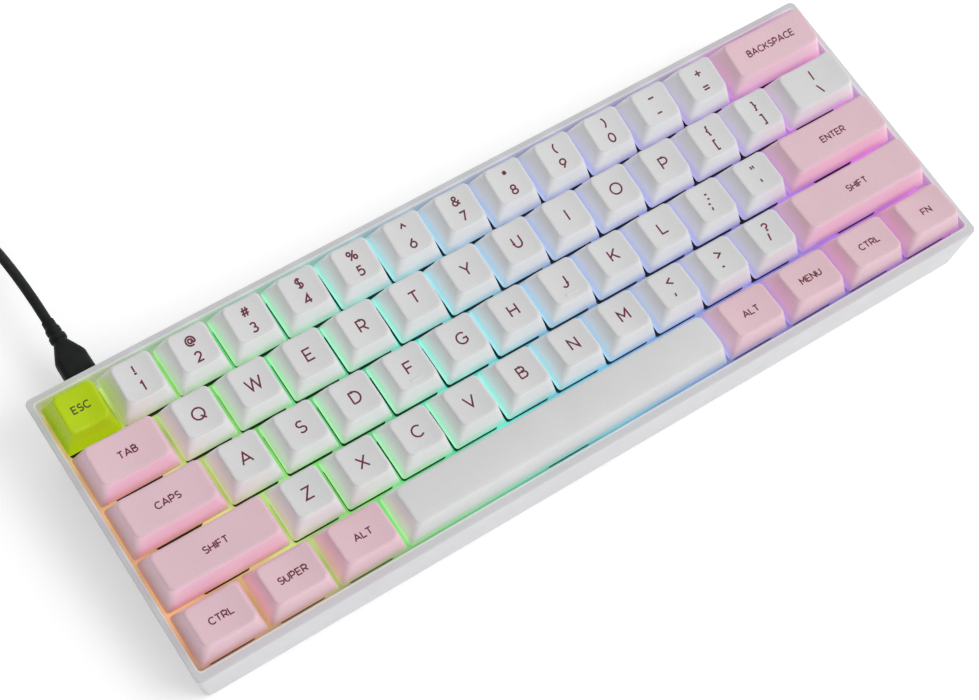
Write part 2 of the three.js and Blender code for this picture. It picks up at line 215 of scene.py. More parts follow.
def circle(diameter, steps=20):
    angles = [2 * math.pi * step / steps for step in range(steps)]
    return [Vector((math.cos(angle), math.sin(angle))) * diameter / 2 for angle in angles]


def lying(points, height, shift=(0, 0)):
    """A ring at one height, from a flat outline."""
    return [Vector((point.x + shift[0], point.y + shift[1], height)) for point in points]


def standing(points, y, centre=(0, 0)):
    """A ring square to the y axis, from a flat outline, round a centre given as (x, z)."""
    return [Vector((centre[0] - point.x, y, centre[1] + point.y)) for point in points]


# How far the flats beside a rounded edge are held flat, as a share of the rounding's own reach.
HOLD = 0.35


def softened(rings, roundings, steps=4):
    """The chain of rings with its edges rounded. roundings gives, for each ring, how far along the
    surface its rounding reaches on both sides, and 0 keeps the ring as it is."""
    chain = []
    for index, (ring, reach) in enumerate(zip(rings, roundings)):
        if reach == 0 or index in (0, len(rings) - 1):
            chain.append(ring)
            continue
        before, after = rings[index - 1], rings[index + 1]
        shares = [-HOLD] + [step / steps for step in range(steps + 1)] + [1 + HOLD]
        for share in shares:
            chain.append([rounded_point(*trio, reach, share) for trio in zip(before, ring, after)])
    return chain


def rounded_point(before, corner, after, reach, share):
    """A point of the rounding at one corner. Shares below 0 and above 1 lie on the flats beside it."""
    to_before = (before - corner) / max((before - corner).length, 1e-6)
    to_after = (after - corner) / max((after - corner).length, 1e-6)
    reach_before = min(reach, (before - corner).length * 0.45)
    reach_after = min(reach, (after - corner).length * 0.45)
    if share < 0:
        return corner + to_before * reach_before * (1 - share * 2)
    if share > 1:
        return corner + to_after * reach_after * (2 * share - 1)
    start = corner + to_before * reach_before
    end = corner + to_after * reach_after
    return start * (1 - share) ** 2 + corner * 2 * share * (1 - share) + end * share ** 2


class Piece:
    """A mesh being gathered out of closed surfaces, whose rings are given from the piece's centre."""

    def __init__(self, place, centre=(0, 0, 0)):
        self.place = place
        self.centre = Vector(centre)
        self.points = []
        self.faces = []
        self.face_slots = []

    def face(self, corners, slot):
        self.faces.append(corners)
        self.face_slots.append(slot)

    def close(self, start, count, slot):
        """Closes a ring with strips between its mirrored points."""
        self.face((start, start + 1, start + count - 1), slot)
        for i in range(1, count // 2 - 1):
            self.face((start + i, start + i + 1, start + count - i - 1, start + count - i), slot)
        middle = start + count // 2
        self.face((middle - 1, middle, middle + 1), slot)

    def chain(self, rings, slot=0, wrap=False, slots=None):
        """A closed surface through rings, closed at both ends, or back onto itself if wrap is set.
        slots gives the material of each stretch between two rings where they differ."""
        count = len(rings[0])
        first = len(self.points)
        self.points.extend(self.place @ (point + self.centre) for ring in rings for point in ring)
        stretches = len(rings) if wrap else len(rings) - 1
        for stretch in range(stretches):
            here = first + stretch * count
            there = first + (stretch + 1) % len(rings) * count
            own = slots[stretch] if slots else slot
            for i in range(count):
                j = (i + 1) % count
                self.face((here + i, here + j, there + j, there + i), own)
        if not wrap:
            self.close(first, count, slots[0] if slots else slot)
            self.close(first + (len(rings) - 1) * count, count, slots[-1] if slots else slot)

    def build(self, name, materials, body, replaces=(), sharp=40):
        mesh = bpy.data.meshes.new(name)
        mesh.from_pydata(self.points, [], self.faces)
        for material in materials:
            mesh.materials.append(material)
        mesh.polygons.foreach_set("material_index", self.face_slots)
        work = bmesh.new()
        work.from_mesh(mesh)
        bmesh.ops.recalc_face_normals(work, faces=work.faces)
        work.to_mesh(mesh)
        work.free()
        mesh.shade_smooth()
        mesh.set_sharp_from_angle(angle=math.radians(sharp))
        return settle(bpy.data.objects.new(name, mesh), body, replaces)


def settle(piece, body, replaces=()):
    """Links a piece, and says what it rides on and what it stands for."""
    if piece.name not in bpy.context.scene.collection.objects:
        bpy.context.scene.collection.objects.link(piece)
    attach(piece, body)
    if replaces:
        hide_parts(*replaces)
    return piece


# Materials --------------------------------------

# The backlight along the keys: (key units from the left, hue in degrees, saturation, strength).
BACKLIGHT = (
    (-2.2, 24, 0.52, 0.45), (-0.4, 33, 0.5, 0.42), (0.6, 49, 0.48, 0.42), (1.1, 74, 0.5, 0.5),
    (1.8, 98, 0.52, 0.65), (2.6, 115, 0.55, 0.9), (4, 146, 0.58, 1), (5.4, 174, 0.74, 1),
    (6.6, 192, 0.58, 1), (8, 213, 0.5, 0.95), (9.5, 230, 0.46, 0.95), (11, 246, 0.46, 0.8),
    (12.3, 266, 0.48, 0.75), (13.4, 287, 0.52, 0.7), (15, 305, 0.52, 0.7),
)
# How much further left the same colour lies for each row towards the front, in key units.
HUE_SLANT = 0.33

# How high the keycaps' skirts show the light, in millimetres above their lower edges, and how strongly.
GLOW_REACH = 8.5
# How high the backlight's colour is painted into the skirt's own colour, and how far up the scattered light
# grows stronger from a painted shade low down.
PAINTED_TINT_AND_SHADE_REACH = 4
EDGE_REACH = 1.6
EDGE_GLOW = 0.42
GLOW_SIDES = 0.34
GLOW_FRONTS = 0.22


def linear(red, green, blue):
    """A screen colour, 0 to 255, as linear light with full alpha."""
    return tuple((value / 255) ** 2.2 for value in (red, green, blue)) + (1,)


class Surface:
    """A material with a principled shader, and short ways to add nodes to it.

    mottle, grain and gloss are the numbers that mottle(), grain() and uneven_gloss() take.
    """

    def __init__(self, name, colour, roughness, mottle, grain, gloss=None, metallic=0.0):
        self.material = bpy.data.materials.new(name)
        self.material.use_nodes = True
        self.tree = self.material.node_tree
        self.shader = self.tree.nodes["Principled BSDF"]
        self.colour = colour
        self.give("Base Color", colour)
        self.give("Roughness", roughness)
        self.give("Metallic", metallic)
        self.place = self.node("ShaderNodeTexCoord", {}).outputs["Object"]
        self.x, self.y, self.z = self.parts(self.place)
        self.mottle(*mottle)
        self.grain(*grain)
        if gloss:
            self.uneven_gloss(*gloss)

    def node(self, kind, inputs, **settings):
        """A new node. inputs has what goes into its sockets, by name or by number."""
        node = self.tree.nodes.new(kind)
        for name, value in settings.items():
            setattr(node, name, value)
        for name, value in inputs.items():
            self.feed(node.inputs[name], value)
        return node

    def feed(self, socket, value):
        """Links a socket to another one, or sets it to a value."""
        if isinstance(value, bpy.types.NodeSocket):
            self.tree.links.new(value, socket)
        else:
            socket.default_value = value

    def give(self, name, value):
        self.feed(self.shader.inputs[name], value)

    def combine(self, operation, first, second=0.0):
        return self.node("ShaderNodeMath", {0: first, 1: second}, operation=operation).outputs[0]

    def product(self, first, *others):
        for other in others:
            first = self.combine("MULTIPLY", first, other)
        return first

    def total(self, first, *others):
        for other in others:
            first = self.combine("ADD", first, other)
        return first

    def parts(self, vector):
        """The x, y and z of a vector."""
        return self.node("ShaderNodeSeparateXYZ", {0: vector}).outputs

    def mixed(self, factor, first, second, blend_type="MIX"):
        inputs = {"Factor": factor, "A": first, "B": second}
        mix = self.node("ShaderNodeMix", inputs, data_type="RGBA", blend_type=blend_type)
        return mix.outputs["Result"]

    def noise(self, size, detail=2.0):
        """Noise from 0 to 1 whose blotches are about that many millimetres across."""
        inputs = {"Vector": self.place, "Scale": 1000 / size, "Detail": detail}
        return self.node("ShaderNodeTexNoise", inputs).outputs["Fac"]

    def spread(self, value, low, high, from_low=0.0, from_high=1.0):
        """A value's range from from_low to from_high, stretched to run from low to high."""
        inputs = {"Value": value, "From Min": from_low, "From Max": from_high, "To Min": low, "To Max": high}
        return self.node("ShaderNodeMapRange", inputs).outputs["Result"]

    def mottle(self, size, amount):
        """Lets the colour vary a little, in soft blotches and fine specks."""
        blotches = self.total(self.noise(size), self.noise(size / 25))
        darker = tuple(part * (1 - amount) for part in self.colour[:3]) + (1,)
        lighter = tuple(part * (1 + amount) for part in self.colour[:3]) + (1,)
        self.give("Base Color", self.mixed(self.spread(blotches, 0, 1, 0.7, 1.3), darker, lighter))

    def grain(self, size, depth):
        """A fine moulded texture of that size and depth in millimetres."""
        inputs = {"Strength": 1, "Distance": depth / 1000, "Height": self.noise(size, 3.0)}
        self.give("Normal", self.node("ShaderNodeBump", inputs).outputs["Normal"])

    def uneven_gloss(self, size, low, high):
        self.give("Roughness", self.spread(self.noise(size, 4.0), low, high, 0.3, 0.7))

    def deck_height(self):
        """Millimetres above the keycaps' lower edges."""
        up = DECK.inverted()[2]
        return self.total(self.product(self.y, up[1]), self.product(self.z, up[2]), up[3])

    def normal(self):
        return self.parts(self.node("ShaderNodeNewGeometry", {}).outputs["Normal"])

    def frontal(self):
        """1 on faces that look forwards or backwards, and 0 on faces that look up or sideways."""
        return self.combine("ABSOLUTE", self.normal()["Y"])

    def inside(self, position, edge):
        """0 on the outer side of the outermost keys along an edge of the field, and 1 further in."""
        return self.spread(position, 0, 1, (edge + 1.5) / 1000, (edge + 4) / 1000)

    def backlight(self):
        """The backlight's colour and strength, which change over the deck."""
        units = self.product(self.x, 1000 / KEY_PITCH)
        slant = self.product(self.y, HUE_SLANT * 1000 / KEY_PITCH)
        offset = FIELD_COLUMNS / 2 + HUE_SLANT * (0.5 - FIELD_BACK / KEY_PITCH)
        first, last = BACKLIGHT[0][0], BACKLIGHT[-1][0]
        share = self.spread(self.total(units, slant, offset), 0, 1, first, last)
        ramp = self.node("ShaderNodeValToRGB", {"Fac": share})
        stops = ramp.color_ramp.elements
        while len(stops) < len(BACKLIGHT):
            stops.new(0.5)
        for stop, (along, hue, saturation, strength) in zip(stops, BACKLIGHT):
            stop.position = (along - first) / (last - first)
            screen = [255 * part for part in colorsys.hsv_to_rgb(hue / 360, saturation, 1)]
            stop.color = linear(*screen)[:3] + (strength,)
        return ramp.outputs["Color"], ramp.outputs["Alpha"]

    def glow(self, strength, saturation):
        """Light of the backlight's colour, with a strength that may be a socket."""
        inputs = {"Color": self.backlight()[0], "Saturation": saturation}
        self.give("Emission Color", self.node("ShaderNodeHueSaturation", inputs).outputs["Color"])
        self.give("Emission Strength", strength)

    def skirt_glow(self, tint, scatter):
        """How a keycap's skirt takes up the light under it: the backlight's own colour low down, and
        above that the tint of the plastic that the light scatters through. scatter is its strength on
        the sides and on the fronts. The tops stay dark, and so do the outer sides of the left column
        and the front row, which have no lit neighbour."""
        colour, strength = self.backlight()
        height = self.deck_height()
        frontal = self.frontal()
        low = self.combine("POWER", self.spread(height, 1, 0, 0, GLOW_REACH), self.spread(frontal, 2, 5))
        direct = self.product(low, self.spread(frontal, GLOW_SIDES, GLOW_FRONTS), strength)
        upright = self.spread(self.normal()["Z"], 1, 0, 0.3, 0.75)
        wide = self.product(upright, self.spread(frontal, *scatter))
        edge = self.product(self.spread(height, 1, 0, 0, EDGE_REACH), strength)
        bright_edge = self.product(edge, self.spread(frontal, EDGE_GLOW, 0))
        # Scattered light shows only where a lit neighbour is, and is painted weaker low down, as painted
        # shade in the narrow gaps.
        lit_neighbours_and_low_shade = self.product(
            self.inside(self.x, -FIELD_WIDTH / 2),
            self.inside(self.y, -FIELD_DEPTH / 2),
            self.spread(height, 0.45, 1, 0, PAINTED_TINT_AND_SHADE_REACH),
        )
        scattered = self.product(self.total(wide, bright_edge), lit_neighbours_and_low_shade)
        light = self.total(direct, scattered)
        share = self.combine("DIVIDE", scattered, self.combine("MAXIMUM", light, 0.001))
        self.give("Emission Color", self.mixed(share, colour, tint))
        self.give("Emission Strength", light)
        # Painted light: the backlight's colour painted into the base colour low on the skirt.
        self.paint_backlight_tint(colour, height)

    def paint_backlight_tint(self, colour, height):
        """Paints the backlight's colour into the base colour of the skirt's lowest part, as painted light
        from below.
        """
        plastic = self.shader.inputs["Base Color"].links[0].from_socket
        share = self.spread(height, 0.35, 0, 0, PAINTED_TINT_AND_SHADE_REACH)
        self.give("Base Color", self.mixed(share, plastic, colour, "MULTIPLY"))


def keycap_plastic(name, colour, tint, scatter):
    surface = Surface(name, colour, 0.5, (14, 0.03), (0.35, 0.012), (3, 0.42, 0.58))
    surface.skirt_glow(tint, scatter)
    return surface.material


def lime_plastic():
    """Translucent, so that the light under it shows low down, most of all at its front and back."""
    surface = Surface("lime_plastic", linear(182, 212, 10), 0.28, (9, 0.05), (0.6, 0.008), (4, 0.2, 0.36))
    surface.give("Coat Weight", 0.05)
    surface.give("Coat Roughness", 0.3)
    surface.give("Specular IOR Level", 0.2)
    low = surface.combine("POWER", surface.spread(surface.deck_height(), 0.7, 0.15, -1, 11), 2.2)
    surface.give("Emission Color", linear(176, 228, 16))
    surface.give("Emission Strength", surface.product(low, surface.spread(surface.frontal(), 0.5, 1)))
    return surface.material


def well_plastic():
    """The case's inner walls, which catch the backlight."""
    surface = Surface("well_plastic", linear(214, 214, 217), 0.45, (30, 0.02), (0.5, 0.01))
    low = surface.spread(surface.deck_height(), 0.2, 0.09, -3, RIM_HEIGHT)
    surface.glow(surface.total(low, surface.spread(surface.frontal(), 0, 0.05)), 0.4)
    return surface.material


def plate_coating():
    """White coating, lit by the diodes in soft patches, and less so along the front wall."""
    surface = Surface("plate_coating", linear(190, 190, 190), 0.5, (10, 0.03), (0.25, 0.02))
    front = -FIELD_DEPTH / 2
    fade = surface.spread(surface.y, 0.2, 1, (front + 2) / 1000, (front + 6) / 1000)
    patches = surface.spread(surface.noise(16), 0.35, 0.6, 0.35, 0.65)
    surface.glow(surface.product(patches, fade), 1.1)
    return surface.material


def connector_steel():
    colour = linear(205, 207, 210)
    return Surface("connector_steel", colour, 0.3, (5, 0.06), (0.2, 0.004), (2, 0.22, 0.36), 1.0).material


def black_rubber(name, colour, grain):
    surface = Surface(name, colour, 0.6, (6, 0.25), grain, (3, 0.5, 0.72))
    surface.give("Specular IOR Level", 0.3)
    return surface.material


def floor_paper():
    surface = Surface("floor_paper", linear(250, 250, 250), 0.9, (300, 0.004), (1.5, 0.01))
    surface.give("Specular IOR Level", 0.1)
    surface.give("Emission Color", (1, 1, 1, 1))
    surface.give("Emission Strength", 0.26)
    return surface.material


WHITE_CAP = keycap_plastic("white_cap_plastic", linear(219, 219, 220), (1, 1, 1, 1), (0.08, 0.17))
PINK_CAP = keycap_plastic("pink_cap_plastic", linear(229, 193, 203), linear(250, 205, 240), (0.08, 0.18))
LIME_CAP = lime_plastic()
MAROON_LEGEND = Surface("maroon_legend", linear(108, 22, 47), 0.5, (2, 0.1), (0.35, 0.01)).material
OLIVE_LEGEND = Surface("olive_legend", linear(60, 66, 16), 0.5, (2, 0.1), (0.35, 0.01)).material
CASE = Surface("case_plastic", linear(209, 209, 212), 0.4, (30, 0.02), (0.5, 0.01), (8, 0.34, 0.46)).material
WELL = well_plastic()
PLATE = plate_coating()
HOUSING = Surface("housing_nylon", linear(32, 32, 34), 0.55, (4, 0.2), (0.3, 0.01)).material
SLIDER = Surface("slider_plastic", linear(176, 58, 52), 0.35, (3, 0.08), (0.4, 0.005)).material
BOARD = Surface("board_laminate", linear(30, 34, 38), 0.45, (5, 0.25), (0.8, 0.02)).material
STEEL = connector_steel()
DARK = black_rubber("dark_plastic", linear(22, 23, 24), (0.5, 0.01))
CABLE = black_rubber("cable_jacket", linear(20, 23, 24), (0.5, 0.015))
PLUG = black_rubber("plug_moulding", linear(13, 18, 17), (0.4, 0.02))
FEET = black_rubber("foot_rubber", linear(52, 52, 55), (0.7, 0.04))

# The cable --------------------------------------

# Its free stretch, from the plug down to the table, as (y, z) above the table. x stays PORT_X.
CABLE_ROUTE = (
    (79.1, 18.4), (83, 18.7), (87, 18.8), (91, 18.6), (95, 18.1), (100, 17.2), (105, 15.9),
    (110, 14.2), (115, 12.1), (120, 9.7), (125, 7.3), (130, 5.1), (135, 3.3), (140.8, 2.1), (148, 1.72),
)
ROUTE_STEPS = 4
COIL_OUTER = 29.6
COIL_INNER = 11.5
COIL_CENTRE = Vector((PORT_X - COIL_OUTER, 156, 0))
COIL_TURNS = 10.5
COIL_STEPS = 30
CLIMB_TURNS = 0.5
CABLE_LIFT = CABLE_DIAMETER / 2 + 0.02
LAYER_RISE = 3.42

# The end of the cable, from the coil down to its computer plug, as (y, z) above the table.
TAIL = ((153, 5.12), (149.5, 5.06), (146, 5.02), (143, 5), (140.5, 5))


def smooth_between(before, start, end, after, share):
    """A point of the smooth curve from start to end, with the points before and after them."""
    a = start * 2
    b = (end - before) * share
    c = (before * 2 - start * 5 + end * 4 - after) * share ** 2
    d = (start * 3 - before - end * 3 + after) * share ** 3
    return (a + b + c + d) / 2


def coil_points():
    """Two flat layers: inward on the table, then outward on top of it."""
    middle = COIL_TURNS / 2
    points = []
    for step in range(round(COIL_TURNS * COIL_STEPS) + 1):
        turn = step / COIL_STEPS
        radius = COIL_INNER + (COIL_OUTER - COIL_INNER) * abs(turn - middle) / middle
        climb = min(1, max(0, (turn - middle) / CLIMB_TURNS + 0.5))
        height = CABLE_LIFT + LAYER_RISE * climb * climb * (3 - 2 * climb)
        angle = 2 * math.pi * turn
        points.append(COIL_CENTRE + Vector((radius * math.cos(angle), radius * math.sin(angle), height)))
    return points


def cable_points():
    free = [Vector((PORT_X, y, z)) for y, z in CABLE_ROUTE]
    coil = coil_points()
    knots = [free[0] * 2 - free[1]] + free + coil[:2]
    smooth = []
    for index in range(1, len(knots) - 2):
        for step in range(ROUTE_STEPS):
            smooth.append(smooth_between(*knots[index - 1:index + 3], step / ROUTE_STEPS))
    tail = [Vector((COIL_CENTRE.x - COIL_OUTER, y, z)) for y, z in TAIL]
    return smooth + coil + tail


def add_cable():
    points = [TABLE @ point for point in cable_points()]
    curve = bpy.data.curves.new("cable", "CURVE")
    curve.dimensions = "3D"
    curve.bevel_depth = CABLE_DIAMETER / 2 / 1000
    curve.bevel_resolution = 4
    curve.use_fill_caps = True
    spline = curve.splines.new("POLY")
    spline.points.add(len(points) - 1)
    for knot, point in zip(spline.points, points):
        knot.co = (*point, 1)
    spline.use_smooth = True
    curve.materials.append(CABLE)
    cable = settle(bpy.data.objects.new("cable", curve), "chassis", ("cable_lead", "cable_coil"))
    length = sum((b - a).length for a, b in zip(points, points[1:]))
    return cable, points[0], length


def plug_ring(centre, y, width, thickness=None, radius=None, steps=(4, 4, 4)):
    """A ring of a plug, square to the y axis. Without a thickness it is round."""
    if thickness is None:
        thickness = width
        radius = width / 2 - 0.01
    return standing(outline(width, thickness, radius, *steps), y, centre)


def add_cable_plug():
    """The moulded plug in the keyboard's port: flat sides, sloping shoulders and a neck of two ribs."""
    start = CASE_DEPTH / 2 - 3.6
    grip = ((0, 10.6, 6.2, 2.2), (9.5, 10.6, 6.2, 2.2), (16.7, 10.5, 6.2, 2.3), (23, 4.6))
    neck = ((23.5, 5.7), (25.1, 5.7), (25.7, 4.4), (26.4, 5), (27.9, 5), (28.5, 4.2), (31, 4.1))
    tongue = [(y, 7.4, 1.6, 0.7) for y in (-5, -4.9, 0.5)]

    def rings(sizes):
        return [plug_ring((PORT_X, PORT_AXIS), start + y, *size, steps=(6, 2, 2)) for y, *size in sizes]

    plug = Piece(DECK)
    plug.chain(softened(rings(grip + neck), [0, 0.8, 1, 0.4] + [0.25] * 6 + [0]), 0)
    plug.chain(softened(rings(tongue), [0, 0.1, 0]), 1)
    return plug.build("cable_plug_moulding", (PLUG, STEEL), "chassis", ("cable_plug",))


def add_computer_plug():
    """The plug at the cable's other end: sleeve with ribs, flat grip and a hollow metal shell."""
    x = COIL_CENTRE.x - COIL_OUTER
    sleeve = TAIL[-1][0]
    grip = sleeve - 11
    mouth = grip - 22
    tip = mouth - 18.7
    axis = 4.1
    centre = (x, axis)
    sleeve_sizes = (
        (0, 4, 0.9), (1, 4, 0.85), (2, 4.7, 0.8), (3.2, 4.7, 0.7), (3.8, 4.1, 0.6), (4.6, 4.1, 0.5),
        (5.2, 5.1, 0.45), (6.6, 5.1, 0.35), (7.2, 4.5, 0.25), (8.2, 4.5, 0.15), (8.8, 5.6, 0.1),
        (10.4, 5.8, 0),
    )
    body = [plug_ring((x, axis + lift), sleeve - y, diameter) for y, diameter, lift in sleeve_sizes]
    body += [
        plug_ring(centre, grip - 3, 15.5, 8, 2.6),
        plug_ring(centre, mouth + 2, 15.5, 8, 2.2),
        plug_ring(centre, mouth, 14.9, 7.4, 2),
        plug_ring(centre, mouth - 0.05, 13, 5.4, 1),
    ]
    plug = Piece(TABLE)
    plug.chain(softened(body, [0] + [0.3] * (len(body) - 5) + [1.6, 0.8, 0.5, 0]), 0)
    outside = [plug_ring(centre, y, 12, 4.5, 0.6) for y in (mouth + 0.5, tip)]
    inside = [plug_ring(centre, y, 11.4, 3.9, 0.4) for y in (tip, mouth)]
    plug.chain(softened(outside + inside, [0, 0.12, 0.12, 0]), 1)
    plug.chain([plug_ring((x, axis - 0.95), y, 11, 1.8, 0.3) for y in (mouth, tip + 1)], 2)
    for side in (-1, 1):
        window = [lying(outline(2.3, 2.6, 0.3, 3), axis + 2.15 + rise, (x + side * 2.9, tip + 7.5))
                  for rise in (0, 0.115)]
        plug.chain(window, 2)
    return plug.build("computer_plug", (PLUG, STEEL, DARK), "chassis", ("usb_a_plug",))


def add_coil_tie():
    """A flat strap round the coil's bundle of turns, on the side nearest the keyboard."""
    inner = COIL_INNER - CABLE_DIAMETER / 2
    outer = COIL_OUTER + CABLE_DIAMETER / 2
    height = CABLE_DIAMETER + LAYER_RISE
    middle_y = COIL_CENTRE.y - (inner + outer) / 2
    rings = []
    for x, growth in ((-4.5, 0), (4.5, 0), (4.5, -0.4), (-4.5, -0.4)):
        loop = outline(outer - inner + 2 * growth + 0.3, height + 2 * growth + 0.1, 2.6 + growth, 5, 6, 2)
        rings.append([Vector((COIL_CENTRE.x + x, middle_y + p.x, height / 2 + 0.06 + p.y)) for p in loop])
    tie = Piece(TABLE)
    tie.chain(rings, 0, wrap=True)
    return tie.build("coil_tie", (DARK,), "chassis")


cable, cable_exit, cable_length = add_cable()
cable_plug = add_cable_plug()
computer_plug = add_computer_plug()
coil_tie = add_coil_tie()

# Legends ----------------------------------------

# The material slots of a keycap.
CAP_SLOT, LEGEND_SLOT, SLIDER_SLOT = range(3)


def arc(x, y, radius_x, radius_y, start=0, end=360):
    """Points along an ellipse, between two angles in degrees, or all the way round."""
    steps = max(3, round(abs(end - start) / 15))
    angles = [math.radians(start + (end - start) * step / steps) for step in range(steps + 1)]
    return [(x + radius_x * math.cos(angle), y + radius_y * math.sin(angle)) for angle in angles]


def mirrored(strokes, width):
    return [[(width - x, y) for x, y in stroke] for stroke in strokes]


def dot(x, y):
    """Two strokes side by side, which make a square dot."""
    return [[(x + side, y), (x + side, y + 0.22)] for side in (-0.05, 0.05)]


S_CURVE = arc(0.34, 0.745, 0.29, 0.255, 35, 262) + arc(0.34, 0.255, 0.32, 0.255, 82, -145)
P_BOWL = [(0, 0), (0, 1), (0.4, 1)] + arc(0.4, 0.7, 0.3, 0.3, 90, -90) + [(0, 0.4)]
BRACE = [[(0.36, 1.1), (0.18, 1.02), (0.18, 0.64), (0.02, 0.5), (0.18, 0.36), (0.18, -0.02), (0.36, -0.1)]]
BRACKET = [[(0.3, 1.1), (0, 1.1), (0, -0.1), (0.3, -0.1)]]
PARENTHESIS = [arc(0.62, 0.5, 0.6, 0.7, 125, 235)]
ANGLE = [[(0.62, 0.86), (0, 0.46), (0.62, 0.06)]]

